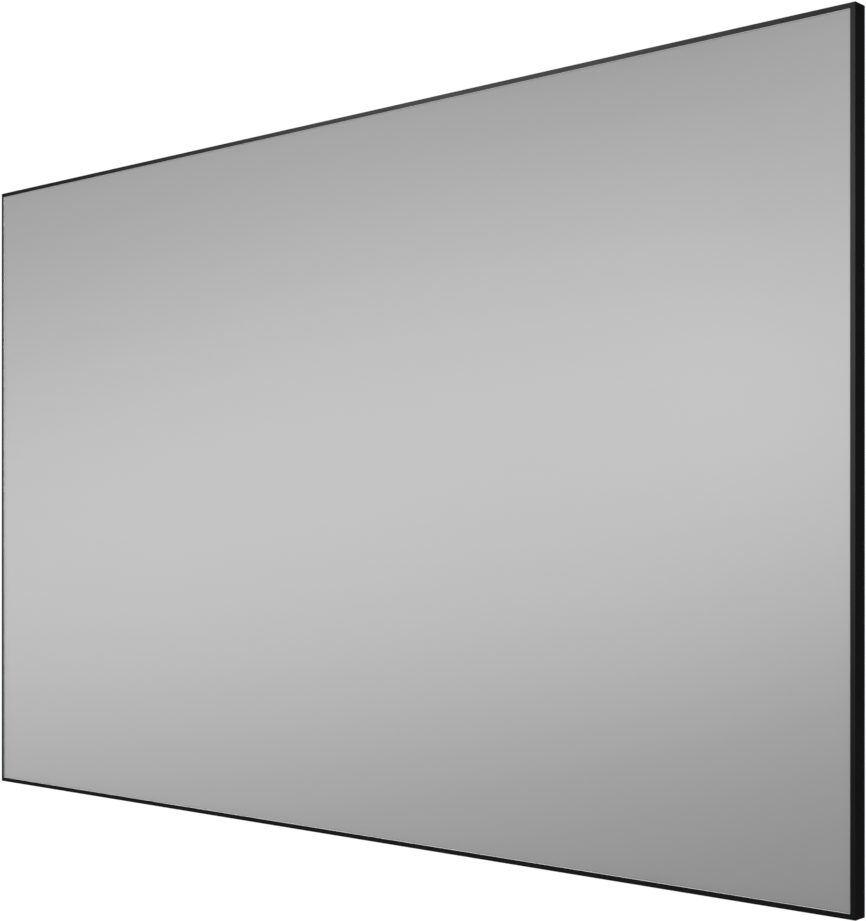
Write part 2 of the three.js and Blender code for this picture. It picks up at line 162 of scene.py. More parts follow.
# %% Floor
FLOOR_DROP = 0.75
FLOOR_RADIUS = 14
FLOOR_PAINT = (0.8, 0.8, 0.8, 1)
FLOOR_GLOW = 0.68

floor_paint = bpy.data.materials.new("floor_paint")
floor_paint.use_nodes = True
tree = floor_paint.node_tree
tree.nodes.clear()
matt = node(tree, "ShaderNodeBsdfDiffuse", {"Color": FLOOR_PAINT})
glow_level = maths(tree, "MULTIPLY", seen_directly(tree), FLOOR_GLOW)
glow = node(tree, "ShaderNodeEmission", {"Strength": glow_level})
both = node(tree, "ShaderNodeAddShader", {0: matt.outputs[0], 1: glow.outputs[0]})
node(tree, "ShaderNodeOutputMaterial", {"Surface": both.outputs[0]})

bpy.ops.mesh.primitive_circle_add(vertices=96, radius=FLOOR_RADIUS, fill_type="NGON",
                                  location=(0, 0, cad_box[0][2] - FLOOR_DROP))
floor = bpy.context.object
floor.name = "studio_floor"
floor.data.materials.append(floor_paint)
print(f"floor {FLOOR_DROP} m under the screen")

# %% [markdown]
# Lamps
#
# The picture surface is brightest along a band that climbs from the left edge to the right one and fades
# above and below it. That is the soft mirror image of long lamps in front of the screen. Where they
# hang follows from the mirror rule: draw the camera behind the screen plane, and run lines from there
# through the bright band. One lamp would give a band of one width, but this one bends and narrows to
# the right, so two softboxes make it: a low one, nearly level, and a high one that leans up to the
# right. A third lamp lights the back evenly, for the views from behind.
#
# The black trim shows another lamp. It is palest in the middle of the top and at the right above the
# middle, as a mirror would be under a long softbox high up in front that slopes down to the right. The
# picture's coating is made to take little light from up there. A shader for that would be hard to tune,
# so light linking gives the lamp to the trim only.

# %% Hang the lamps
def softbox(name, place, size, brightness, lean=0.0, swing=0.0):
    """A lamp that faces the wall. Lean raises its right end, swing moves that end back, both in degrees"""
    data = bpy.data.lights.new(name, "AREA")
    data.shape = "RECTANGLE"
    data.size, data.size_y = size
    data.energy = brightness * math.pi * data.size * data.size_y
    lamp = add_object(name, data)
    facing = Matrix.Rotation(math.radians(swing), 4, "Z") @ Matrix.Rotation(math.pi / 2, 4, "X")
    lamp.matrix_world = Matrix.Translation(place) @ facing @ Matrix.Rotation(math.radians(lean), 4, "Z")
    lamp.visible_camera = False
    return lamp


softbox("low_softbox", (-1.95, -1.12, -0.14), (5.18, 1.16), 1.74, lean=5.9, swing=9.6)
softbox("high_softbox", (2.46, -1.00, 0.93), (4.25, 0.69), 1.92, lean=27.9, swing=-12.7)
softbox("rear_softbox", (0, 3.0, 0.6), (4.0, 3.0), 0.25, swing=180)
trim_softbox = softbox("trim_softbox", (-2.09, -2.35, 1.83), (4.7, 1.2), 13.0, lean=-34)
trims = bpy.data.collections.new("black_trims")
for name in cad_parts:
    if name.startswith("trim_"):
        trims.objects.link(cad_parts[name])
trim_softbox.light_linking.receiver_collection = trims

# %% [markdown]
# Sizes that the finishes and pieces share
#
# The frame gives the overall size and the front plane. The rail's slot holds many of the pieces, so its
# sizes are stated here too. A place on the screen's edge is easiest to give by three numbers: the inset
# from the outer edge, the depth behind the front plane, and the run along that side. One matrix for
# each side turns those three numbers into a real place.

# %% Sides of the screen
OUTER_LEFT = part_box("trim_left")[0].x
OUTER_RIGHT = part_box("trim_right")[1].x
OUTER_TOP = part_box("trim_top_left")[1].z
OUTER_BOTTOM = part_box("trim_bottom_left")[0].z
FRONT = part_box("trim_left")[0].y
WIDTH = OUTER_RIGHT - OUTER_LEFT
HEIGHT = OUTER_TOP - OUTER_BOTTOM

SLOT_FACE = 25.0 * MM
SLOT_UNDER_LIP = 23.4 * MM
SLOT_FLOOR = 7.8 * MM
SLOT_START, SLOT_END = 31.3 * MM, 48.1 * MM
MOUTH_START, MOUTH_END = 35.7 * MM, 43.7 * MM
RAIL_INNER = 49.7 * MM
PLAY = 0.3 * MM

# Columns: where inset, depth and run point on the bottom side
BOTTOM_AXES = Matrix(((0, 0, -1, 0), (0, 1, 0, 0), (1, 0, 0, 0), (0, 0, 0, 1)))
SIDES = {
    "bottom": {"turn": 0, "length": WIDTH, "reach": HEIGHT / 2, "halves": ("right", "left")},
    "right": {"turn": -math.pi / 2, "length": HEIGHT, "reach": WIDTH / 2, "halves": None},
    "top": {"turn": math.pi, "length": WIDTH, "reach": HEIGHT / 2, "halves": ("left", "right")},
    "left": {"turn": math.pi / 2, "length": HEIGHT, "reach": WIDTH / 2, "halves": None},
}
for side in SIDES.values():
    moved = Matrix.Translation((0, FRONT, -side["reach"]))
    side["matrix"] = Matrix.Rotation(side["turn"], 4, "Y") @ moved @ BOTTOM_AXES


def stretches(name):
    """Label, start and end of each stretch of a side: two halves along the top and bottom, or the whole"""
    side = SIDES[name]
    end = side["length"] / 2
    if side["halves"] is None:
        return [(name, -end, end)]
    first, second = side["halves"]
    return [(f"{name}_{first}", -end, 0), (f"{name}_{second}", 0, end)]


LONG_HALVES = [label for name in ("top", "bottom") for label, _, _ in stretches(name)]
print(f"outside {WIDTH:.3f} x {HEIGHT:.3f} m, front plane at y {FRONT:.5f}")

# %% [markdown]
# Helpers for meshes
#
# Each finished piece is a plain mesh whose object stands at the origin, unturned. Modifiers and node
# trees are used up by taking the evaluated mesh, which is what Blender would draw, as the new mesh.
# Meshes that are drawn face by face, or filled from a curve, have points in the same place to be welded.

# %% Make and freeze a mesh
def mesh_object(name, vertices, faces, edges=()):
    mesh = bpy.data.meshes.new(name)
    mesh.from_pydata([tuple(v) for v in vertices], list(edges), list(faces))
    mesh.update()
    return add_object(name, mesh)


def freeze(piece):
    """The piece as drawn, with its modifiers used up, as a plain mesh object of the same name"""
    name = piece.name
    bpy.context.view_layer.update()
    shown = piece.evaluated_get(bpy.context.evaluated_depsgraph_get())
    mesh = bpy.data.meshes.new_from_object(shown)
    mesh.transform(piece.matrix_world)
    bpy.data.objects.remove(piece)
    mesh.name = name
    return add_object(name, mesh)


# %% Weld and smooth a mesh
def weld(piece, distance, closed=True):
    """Merge points closer than the distance, and turn the faces of a closed shape outward"""
    mesh = bmesh.new()
    mesh.from_mesh(piece.data)
    bmesh.ops.remove_doubles(mesh, verts=mesh.verts, dist=distance)
    if closed:
        bmesh.ops.recalc_face_normals(mesh, faces=mesh.faces)
    mesh.to_mesh(piece.data)
    mesh.free()


def smooth(piece, angle):
    """Smooth shading, with sharp edges kept where faces meet at more than the angle, in degrees"""
    piece.data.shade_smooth()
    piece.data.set_sharp_from_angle(angle=math.radians(angle))


# %% Paint and dress a piece
def paint(piece, finish):
    piece.data.materials.clear()
    piece.data.materials.append(finish)


def dress(piece, finish, slot, *nodes):
    """The last steps for a new piece: its material, the body it rides on and the nodes it stands for"""
    if finish is not None:
        paint(piece, finish)
    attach(piece, "root")
    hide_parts(*nodes)
    print(f"{piece.name}: {len(piece.data.polygons)} faces")


# %% [markdown]
# Start of every finish
#
# All the finishes are built on the Principled shader. What varies over the surface comes from noise on
# Object coordinates, so the pattern has a real size in metres. What is the same everywhere, such as the
# specular level, is typed on the shader itself.

# %% Start and complete a finish
def new_finish(name, **constants):
    finish = bpy.data.materials.new(name)
    finish.use_nodes = True
    shader = finish.node_tree.nodes["Principled BSDF"]
    for socket, value in constants.items():
        shader.inputs[socket.replace("_", " ")].default_value = value
    return finish, finish.node_tree


def noise(tree, scale, detail=3.0, stretch=(1, 1, 1), vector=None):
    """Noise from nought to one. The scale is in cells for each metre, and stretch makes them longer"""
    if vector is None:
        vector = node(tree, "ShaderNodeTexCoord").outputs["Object"]
    mapping = node(tree, "ShaderNodeMapping", {"Vector": vector, "Scale": [1 / s for s in stretch]})
    inputs = {"Vector": mapping.outputs[0], "Scale": scale, "Detail": detail, "Roughness": 0.55}
    return node(tree, "ShaderNodeTexNoise", inputs).outputs["Fac"]


def between(tree, factor, low, high):
    """A number that goes from low to high as the factor goes over the middle range of a noise"""
    return node(tree, "ShaderNodeMapRange", {"Value": factor, "From Min": 0.25, "From Max": 0.75,
                                             "To Min": low, "To Max": high}).outputs["Result"]


def grey(level, tint=(1, 1, 1)):
    return (*(level * share for share in tint), 1)


def mix_colour(tree, factor, first, second):
    """The Mix node has sockets for every kind of value: 6, 7 and output 2 are those for colours"""
    return node(tree, "ShaderNodeMix", {"Factor": factor, 6: first, 7: second}, data_type="RGBA").outputs[2]


def complete(finish, colour, roughness, height=None, relief=0.0):
    """Link the colour, roughness and a bump that rises by the relief, in metres, as height goes to one"""
    tree = finish.node_tree
    links = {"Base Color": colour, "Roughness": roughness}
    if height is not None:
        bump = node(tree, "ShaderNodeBump", {"Height": height, "Distance": relief})
        links["Normal"] = bump.outputs["Normal"]
    for socket, value in links.items():
        tree.links.new(value, tree.nodes["Principled BSDF"].inputs[socket])
    return finish


# %% [markdown]
# Trim finish
#
# The trim is aluminium, anodised satin black and then cut to a small chamfer along its inner edge. The
# cut is bare metal, and it is the fine light line between the bezel and the picture. A separate strip
# could carry it, but on the real trim it is only a cut face. So one material has both finishes, and a
# mask picks the chamfer by its place: closer to the picture than the flat face, and near the front.
#
# Black paint would turn grey at a glancing angle, because any gloss mirrors the white room there, and
# the side face of the trim is seen like that. Dyed anodising drinks that light. A black metal whose
# specular tint is below one has such a dark edge, and a little sheen where it faces the lamps.

# %% Black trim with a bare chamfer
BEZEL = 9.5 * MM
CHAMFER = 0.8 * MM
HAIR = 0.02 * MM
GLANCING = 0.48
CUT_ROUGHER = 0.12
ALONG_X, ALONG_Z = (60, 1, 1), (1, 1, 60)


def edge_inset(tree, position):
    """Distance in from the screen's outer edge, whichever side is nearest"""
    far = node(tree, "ShaderNodeVectorMath", {0: position}, operation="ABSOLUTE")
    split = node(tree, "ShaderNodeSeparateXYZ", {0: far.outputs[0]})
    across = maths(tree, "SUBTRACT", WIDTH / 2, split.outputs["X"])
    upright = maths(tree, "SUBTRACT", HEIGHT / 2, split.outputs["Z"])
    return maths(tree, "MINIMUM", across, upright)


def trim_finish(name, along):
    finish, tree = new_finish(name, Metallic=1.0, Specular_Tint=(GLANCING, GLANCING, GLANCING, 1))
    position = node(tree, "ShaderNodeTexCoord").outputs["Object"]
    inset = edge_inset(tree, position)
    depth = node(tree, "ShaderNodeSeparateXYZ", {0: position}).outputs["Y"]
    inner = maths(tree, "GREATER_THAN", inset, BEZEL - CHAMFER + HAIR)
    front = maths(tree, "LESS_THAN", depth, FRONT + CHAMFER + HAIR)
    bare = maths(tree, "MULTIPLY", inner, front)
    lines = noise(tree, 900, stretch=along)
    cloud = noise(tree, 14, detail=2)
    black = mix_colour(tree, cloud, grey(0.007), grey(0.0095, (1, 1, 1.03)))
    metal = mix_colour(tree, lines, grey(0.31), grey(0.37))
    roughness = maths(tree, "MULTIPLY_ADD", bare, CUT_ROUGHER, between(tree, lines, 0.36, 0.46))
    return complete(finish, mix_colour(tree, bare, black, metal), roughness, lines, 0.01 * MM)


for name in ("left", "right"):
    paint(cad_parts[f"trim_{name}"], trim_finish(f"black_trim_{name}", ALONG_Z))
long_trim = trim_finish("black_trim_long", ALONG_X)
for name in LONG_HALVES:
    paint(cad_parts[f"trim_{name}"], long_trim)
print("trim finished with a bare chamfer of", CHAMFER / MM, "mm")

# %% [markdown]
# Aluminium finish
#
# The rails and the support bar are left as they come from the press: pale metal, with fine lines along
# the length that the die drew in it, and duller and brighter patches from handling. Noise that is
# stretched sixty times along the piece gives the lines; the same noise, slow and unstretched, the patches.

# %% Mill finish aluminium
def mill_finish(name, along):
    finish, tree = new_finish(name, Metallic=1.0)
    lines = noise(tree, 700, stretch=along)
    bands = noise(tree, 90, detail=1, stretch=along)
    patches = noise(tree, 9, detail=4)
    pale = mix_colour(tree, lines, grey(0.56, (0.99, 1, 1.01)), grey(0.70, (0.99, 1, 1.01)))
    dull = mix_colour(tree, lines, grey(0.50, (1, 1, 0.99)), grey(0.62, (1, 1, 0.99)))
    shine = between(tree, patches, 0.30, 0.44)
    streak = between(tree, bands, -0.05, 0.05)
    roughness = maths(tree, "ADD", shine, streak)
    return complete(finish, mix_colour(tree, patches, pale, dull), roughness, lines, 0.012 * MM)


across_metal = mill_finish("mill_aluminium_across", ALONG_X)
upright_metal = mill_finish("mill_aluminium_upright", ALONG_Z)
for name in LONG_HALVES:
    paint(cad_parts[f"rail_{name}"], across_metal)
for name in ("rail_left", "rail_right", "support_bar"):
    paint(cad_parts[name], upright_metal)
print("aluminium on 6 rails and the support bar")

# %% [markdown]
# Steel and rod finishes
#
# Four kinds of steel are on the back. Zinc plating dries in faint cloudy spangles with a cool or a
# straw tint. Powder coat has an even orange-peel skin. Black oxide is darker and a little shinier on
# the screws. The springs are drawn wire with a thin bright nickel coat. The rods in the cloth's hem
# are pale glass fibre, with its strands just showing.

# %% Finishes of the plates, screws, springs and rods
def zinc_finish():
    finish, tree = new_finish("bright_zinc", Metallic=1.0)
    place = node(tree, "ShaderNodeTexCoord").outputs["Object"]
    spangle = node(tree, "ShaderNodeTexVoronoi", {"Vector": place, "Scale": 160})
    cloud = noise(tree, 45, detail=4)
    cool = mix_colour(tree, spangle.outputs["Distance"], grey(0.56, (0.97, 0.99, 1.03)), grey(0.48))
    straw = mix_colour(tree, cloud, cool, grey(0.52, (1.04, 1.0, 0.9)))
    skin = noise(tree, 1500, detail=2)
    return complete(finish, straw, between(tree, cloud, 0.24, 0.40), skin, 0.01 * MM)


def powder_finish():
    finish, tree = new_finish("black_powder_coat", Specular_IOR_Level=0.25)
    black = mix_colour(tree, noise(tree, 30), grey(0.014), grey(0.022))
    peel = noise(tree, 1300, detail=1)
    return complete(finish, black, between(tree, peel, 0.42, 0.55), peel, 0.03 * MM)


def oxide_finish():
    finish, tree = new_finish("black_oxide", Metallic=0.5)
    black = mix_colour(tree, noise(tree, 600), grey(0.02), grey(0.045, (1, 1, 1.05)))
    return complete(finish, black, between(tree, noise(tree, 900), 0.28, 0.42))


def wire_finish():
    finish, tree = new_finish("nickel_spring_wire", Metallic=1.0)
    drawn = noise(tree, 1800, detail=2)
    nickel = mix_colour(tree, drawn, grey(0.45, (1.02, 1, 0.97)), grey(0.62, (1.02, 1, 0.97)))
    return complete(finish, nickel, between(tree, drawn, 0.18, 0.32))


def rod_finish():
    finish, tree = new_finish("glass_fibre_rod", Specular_IOR_Level=0.5)
    strands = noise(tree, 2500, detail=2)
    resin = mix_colour(tree, strands, grey(0.62, (1, 0.99, 0.93)), grey(0.78, (1, 1, 0.96)))
    return complete(finish, resin, between(tree, strands, 0.35, 0.5), strands, 0.02 * MM)


zinc = zinc_finish()
powder = powder_finish()
oxide = oxide_finish()
wire = wire_finish()
rod_glass = rod_finish()
print("finishes:", [m.name for m in (zinc, powder, oxide, wire, rod_glass)])

# %% [markdown]
# Cloth finish
#
# The picture side is a mid-grey coating with a broad, soft gloss. From a few metres it is perfectly
# even; close up it has a fine grain that spreads the light, and very slow clouds from the coating line.
# The grain follows the sheet round its edges, so it reads the cloth's own UV map, which is the flat cut.
# The back is a black layer that stops light from behind.

# %% Front and back of the cloth
CLOTH_GREY = 0.32
CLOTH_GLOSS = 0.45
CLOTH_SPECULAR = 0.75
BACKING_GLOSS = 0.62
BACKING_SPECULAR = 0.2
GRAIN_SHARE = 0.25
GLOSS_SPREAD = 0.03


def cloth_finish(name, low, high, roughness, flat_size, specular):
    finish, tree = new_finish(name, Specular_IOR_Level=specular)
    cut = node(tree, "ShaderNodeUVMap", uv_map="flat_cut")
    flat = node(tree, "ShaderNodeMapping", {"Vector": cut.outputs[0], "Scale": (*flat_size, 1)}).outputs[0]
    grain = noise(tree, 1400, detail=2, vector=flat)
    rolled = noise(tree, 22, detail=2, stretch=(30, 1, 1), vector=flat)
    clouds = noise(tree, 1.6, detail=2, vector=flat)
    tone = maths(tree, "MULTIPLY_ADD", grain, GRAIN_SHARE, maths(tree, "ADD", rolled, clouds))
    share = maths(tree, "DIVIDE", tone, 2 + GRAIN_SHARE)
    gloss = between(tree, grain, roughness - GLOSS_SPREAD, roughness + GLOSS_SPREAD)
    return complete(finish, mix_colour(tree, share, low, high), gloss, grain, 0.018 * MM)


# %% [markdown]
# Screen cloth
#
# The cloth is one sheet. It lies flat across the front, turns over the rounded edge of the rail, runs
# back inside the trim, turns over a bead, and ends in a hem that is wrapped round a rod. Its corners are
# cut away behind, and the hem is notched wherever a spring takes hold of the rod. A simulation would
# only find the same tight shape again, so the sheet is drawn as a path in section: a grid carries it
# along each side, and Solidify gives the thickness, with the black layer as the inner skin.

# %% Path of the cloth in section
CLOTH_MIDDLE = 2.1 * MM
CLOTH_THICKNESS = 0.6 * MM
TURN_CENTRE = 6.7 * MM
BEAD_INSET, BEAD_DEPTH = 4.2 * MM, 25.8 * MM
ROD_INSET, ROD_DEPTH, ROD_RADIUS = 11.4 * MM, 25.3 * MM, 2.0 * MM
HEM_RADIUS = ROD_RADIUS + PLAY + CLOTH_THICKNESS / 2
WELD_RADIUS = 1.5 * MM
WELD_LENGTH = 0.8 * MM
CORNER_CUT = 32 * MM
NOTCH_INSET = 8.2 * MM


def arc(centre, radius, start, end, steps):
    """Points on an arc in section, with angles in degrees from the inset direction towards the back"""
    angles = [math.radians(start + (end - start) * i / steps) for i in range(steps + 1)]
    return [(centre[0] + radius * math.cos(a), centre[1] + radius * math.sin(a)) for a in angles]


front_turn = arc((TURN_CENTRE, TURN_CENTRE), TURN_CENTRE - CLOTH_MIDDLE, -90, -180, 8)
bead_turn = arc((BEAD_INSET, BEAD_DEPTH), BEAD_INSET - CLOTH_MIDDLE, 180, 90, 6)
hem_loop = arc((ROD_INSET, ROD_DEPTH), HEM_RADIUS, 90, -180, 20)
weld_depth = bead_turn[-1][1] - CLOTH_THICKNESS
weld_inset = ROD_INSET - HEM_RADIUS - WELD_RADIUS
weld_turn = arc((weld_inset, weld_depth - WELD_RADIUS), WELD_RADIUS, 0, 90, 5)
cloth_path = front_turn + bead_turn + hem_loop + weld_turn + [(weld_inset - WELD_LENGTH, weld_depth)]
print("points in the section:", len(cloth_path))

# %% [markdown]
# Where the springs stand
#
# The springs are spaced evenly along each stretch of rail, and they keep clear of the plates in the
# slot: the elbow at a corner and the joint plate at the middle. The notches in the cloth have the same
# places, so one function works them out.

# %% Spring places
ELBOW_TIP = 151.3 * MM
JOINT_HALF = 110 * MM
SPRING_MARGIN = 20 * MM
SPRING_PITCH = 260 * MM
NOTCH = 9 * MM


def spring_row(name, start, end):
    """First place, pitch and number of the springs on a stretch"""
    half = SIDES[name]["length"] / 2
    first = start + (JOINT_HALF if start > -half else ELBOW_TIP) + SPRING_MARGIN
    last = end - (JOINT_HALF if end < half else ELBOW_TIP) - SPRING_MARGIN
    gaps = max(2, round((last - first) / SPRING_PITCH))
    return first, (last - first) / gaps, gaps + 1


def spring_places(name):
    rows = [spring_row(name, start, end) for _, start, end in stretches(name)]
    return [first + pitch * i for first, pitch, count in rows for i in range(count)]


print("springs:", {name: len(spring_places(name)) for name in SIDES})

# %% [markdown]
# The sheet itself
#
# Each side has stations along it: the corner, the corner cut, and both edges of every notch. The front
# is the grid of all stations across and up. A flap is the section path, repeated at each station. Where
# two sides meet, the path is mitred: the last station moves out with the path, so the two edges fall
# on the same points and merge. Every corner of every face also remembers where it lay on the flat cut.

# %% Flat size, and stations along each side
FRONT_TURN_POINTS = len(front_turn)
run_lengths = [0.0]
for (u0, d0), (u1, d1) in zip(cloth_path, cloth_path[1:]):
    run_lengths.append(run_lengths[-1] + math.hypot(u1 - u0, d1 - d0))
flap = run_lengths[-1]
flat_width = WIDTH - 2 * TURN_CENTRE + 2 * flap
flat_length = HEIGHT - 2 * TURN_CENTRE + 2 * flap


def stations(name):
    half = SIDES[name]["length"] / 2
    marks = [-half + TURN_CENTRE, -half + CORNER_CUT, half - CORNER_CUT, half - TURN_CENTRE]
    for place in spring_places(name):
        marks += [place - NOTCH / 2, place + NOTCH / 2]
    return sorted(marks)


def in_notch(name, near, far):
    middle = (near + far) / 2
    return any(abs(middle - place) < NOTCH / 2 for place in spring_places(name))


print(f"flat cut {flat_width:.3f} x {flat_length:.3f} m, flap {flap / MM:.1f} mm")

# %% Front of the sheet, face by face
faces, flat_places = [], []
across, upright = stations("top"), stations("left")
for x0, x1 in zip(across, across[1:]):
    for z0, z1 in zip(upright, upright[1:]):
        corners = [(x0, z0), (x1, z0), (x1, z1), (x0, z1)]
        faces.append([Vector((x, FRONT + CLOTH_MIDDLE, z)) for x, z in corners])
        flat_places.append(corners)
print("faces in front:", len(faces))

# %% Flaps, face by face
NOTCH_FROM = next(i for i, (inset, _) in enumerate(cloth_path)
                  if i >= FRONT_TURN_POINTS and inset > NOTCH_INSET)
for name, side in SIDES.items():
    marks = stations(name)
    half = side["length"] / 2
    turned = Matrix.Rotation(side["turn"], 4, "Y")
    for near, far in zip(marks, marks[1:]):
        past_cut = abs(near + far) / 2 > half - CORNER_CUT
        for step in range(len(cloth_path) - 1):
            if past_cut and step >= FRONT_TURN_POINTS - 1:
                break
            if step + 1 >= NOTCH_FROM and in_notch(name, near, far):
                break
            face, flat_face = [], []
            for i, mark in ((step, near), (step, far), (step + 1, far), (step + 1, near)):
                inset, depth = cloth_path[i]
                end = abs(mark) > half - TURN_CENTRE - HAIR
                run = math.copysign(half - inset, mark) if end else mark
                face.append(side["matrix"] @ Vector((inset, depth, run)))
                flat = turned @ Vector((-mark, 0, -side["reach"] + TURN_CENTRE - run_lengths[i]))
                flat_face.append((flat.x, flat.z))
            faces.append(face)
            flat_places.append(flat_face)
print("faces with the flaps:", len(faces))

# %% One mesh, with the flat cut as its UV map
points = [corner for face in faces for corner in face]
polygons = [tuple(range(4 * i, 4 * i + 4)) for i in range(len(faces))]
cloth = mesh_object("stretched_cloth", points, polygons)
flat_cut = cloth.data.uv_layers.new(name="flat_cut")
for loop in cloth.data.loops:
    x, z = flat_places[loop.vertex_index // 4][loop.vertex_index % 4]
    flat_cut.data[loop.index].uv = (x / flat_width + 0.5, z / flat_length + 0.5)
weld(cloth, HAIR, closed=False)
print("points after welding:", len(cloth.data.vertices))

# %% Thickness and finish of the sheet
flat_size = (flat_width, flat_length)
cloth.data.materials.append(
    cloth_finish("grey_screen_coating", grey(CLOTH_GREY * 0.98), grey(CLOTH_GREY * 1.02), CLOTH_GLOSS,
                 flat_size, CLOTH_SPECULAR))
cloth.data.materials.append(
    cloth_finish("black_backing", grey(0.012), grey(0.02), BACKING_GLOSS, flat_size, BACKING_SPECULAR))
thick = cloth.modifiers.new("thickness", "SOLIDIFY")
thick.thickness = CLOTH_THICKNESS
thick.offset = 0
thick.use_even_offset = True
thick.material_offset = 1
thick.material_offset_rim = 1
cloth = freeze(cloth)
smooth(cloth, 50)
dress(cloth, None, "screen_cloth", "screen_cloth")
[f"rail_{label}" for name in SIDES for label, _, _ in stretches(name)]

# %% [markdown]
# Tension rods
#
# A glass fibre rod lies in the hem of each stretch, from just past the corner cut to just short of the
# middle joint. It is a plain round bar, so rings of points along a line make it. Its ends are slightly
# broken, as those of sawn and ground rod are.

# %% Rods
ROD_SIDES = 24
ROD_BREAK = 0.4 * MM
ROD_END_GAP = 4 * MM


def round_bar(profile, sides, matrix):
    """A closed bar turned round the run direction. The profile is (radius, run) from end to end"""
    vertices = []
    for radius, run in profile:
        for i in range(sides):
            angle = 2 * math.pi * i / sides
            vertices.append(matrix @ Vector((radius * math.cos(angle), radius * math.sin(angle), run)))
    faces = [tuple(reversed(range(sides)))]
    for ring in range(len(profile) - 1):
        for i in range(sides):
            j = (i + 1) % sides
            low, high = ring * sides, (ring + 1) * sides
            faces.append((low + i, low + j, high + j, high + i))
    faces.append(tuple(range((len(profile) - 1) * sides, len(profile) * sides)))
    return vertices, faces


for name, side in SIDES.items():
    half = side["length"] / 2
    for label, start, end in stretches(name):
        low = start + ROD_END_GAP + (0 if start > -half else CORNER_CUT)
        high = end - ROD_END_GAP - (0 if end < half else CORNER_CUT)
        profile = [(ROD_RADIUS - ROD_BREAK, low), (ROD_RADIUS, low + ROD_BREAK),
                   (ROD_RADIUS, high - ROD_BREAK), (ROD_RADIUS - ROD_BREAK, high)]
        place = side["matrix"] @ Matrix.Translation((ROD_INSET, ROD_DEPTH, 0))
        rod = mesh_object(f"hem_rod_{label}", *round_bar(profile, ROD_SIDES, place))
        smooth(rod, 30)
        dress(rod, rod_glass, "spring_steel", f"tension_rod_{label}")

# %% [markdown]
# Tension springs
#
# Each spring is one wire: a loop round the rod, a close coil, and a hook over the lip of the slot. The
# wire's middle line is a formula, so it is worked out point by point. Geometry Nodes then do what
# repeats: they give the line a round section, set a copy at each place in the row, and join the copies.
# The tree has inputs for the wire, the number of springs and their spacing, and serves every row.

# %% Middle line of one spring
WIRE_RADIUS = 0.45 * MM
WIRE_SIDES = 8
WIRE_PLAY = 0.05 * MM
COIL_RADIUS = 2.2 * MM
COIL_START, COIL_END = 15.1 * MM, 28.9 * MM
COIL_TURNS = 12
COIL_STEPS = 12
HOOK_REACH = 1.0 * MM


def spring_line():
    seat = ROD_RADIUS + WIRE_RADIUS + WIRE_PLAY
    loop = [(u, d, 0) for u, d in arc((ROD_INSET, ROD_DEPTH), seat, -40, -300, 20)]
    coil = []
    for i in range(COIL_TURNS * COIL_STEPS + 1):
        angle = 2 * math.pi * i / COIL_STEPS
        along = COIL_START + (COIL_END - COIL_START) * i / (COIL_TURNS * COIL_STEPS)
        coil.append((along, ROD_DEPTH + COIL_RADIUS * math.cos(angle), COIL_RADIUS * math.sin(angle)))
    rest = WIRE_RADIUS + WIRE_PLAY
    lip = [(u, d, 0) for u, d in arc((MOUTH_START, SLOT_FACE), rest, 90, 0, 4)]
    lip += [(u, d, 0) for u, d in arc((MOUTH_START, SLOT_UNDER_LIP), rest, 0, -90, 4)]
    lip.append((MOUTH_START - HOOK_REACH, SLOT_UNDER_LIP - rest, 0))
    landing = (SLOT_START + rest, SLOT_FACE + rest, 0)
    return loop + coil + [landing] + lip


# %% Node tree for a row of springs
def geometry_tree(name, output, **inputs):
    """A new tree with these inputs, each a name and a kind of socket, and one output"""
    tree = bpy.data.node_groups.new(name, "GeometryNodeTree")
    for label, kind in inputs.items():
        tree.interface.new_socket(name=label.replace("_", " "), in_out="INPUT",
                                  socket_type=f"NodeSocket{kind}")
    tree.interface.new_socket(name=output, in_out="OUTPUT", socket_type="NodeSocketGeometry")
    return tree, node(tree, "NodeGroupInput").outputs


def spring_row_tree():
    tree, given = geometry_tree("spring_row", "Row", Middle_line="Geometry", Wire_radius="Float",
                                Springs="Int", First_place="Float", Pitch="Float", Finish="Material")
    line = node(tree, "GeometryNodeMeshToCurve", {"Mesh": given["Middle line"]})
    section = node(tree, "GeometryNodeCurvePrimitiveCircle",
                   {"Resolution": WIRE_SIDES, "Radius": given["Wire radius"]})
    wire_mesh = node(tree, "GeometryNodeCurveToMesh",
                     {"Curve": line.outputs[0], "Profile Curve": section.outputs[0], "Fill Caps": True})
    soft = node(tree, "GeometryNodeSetShadeSmooth", {"Geometry": wire_mesh.outputs[0]})
    first = node(tree, "ShaderNodeCombineXYZ", {"Z": given["First place"]})
    step = node(tree, "ShaderNodeCombineXYZ", {"Z": given["Pitch"]})
    places = node(tree, "GeometryNodeMeshLine", {"Count": given["Springs"], "Offset": step.outputs[0],
                                                 "Start Location": first.outputs[0]})
    copies = node(tree, "GeometryNodeInstanceOnPoints",
                  {"Points": places.outputs[0], "Instance": soft.outputs[0]})
    return join_copies(tree, copies, given["Finish"])


def join_copies(tree, copies, finish):
    """The end of a tree: the copies become one mesh, it gets its finish, and that is the output"""
    real = node(tree, "GeometryNodeRealizeInstances", {"Geometry": copies.outputs[0]})
    painted = node(tree, "GeometryNodeSetMaterial", {"Geometry": real.outputs[0], "Material": finish})
    node(tree, "NodeGroupOutput", {0: painted.outputs[0]})
    return tree


def run_tree(piece, tree, **values):
    """Add the tree to the piece, set its inputs by identifier and return the frozen result"""
    modifier = piece.modifiers.new(tree.name, "NODES")
    modifier.node_group = tree
    identifiers = {item.name: item.identifier for item in tree.interface.items_tree
                   if item.in_out == "INPUT"}
    for name, value in values.items():
        modifier[identifiers[name.replace("_", " ")]] = value
    return freeze(piece)


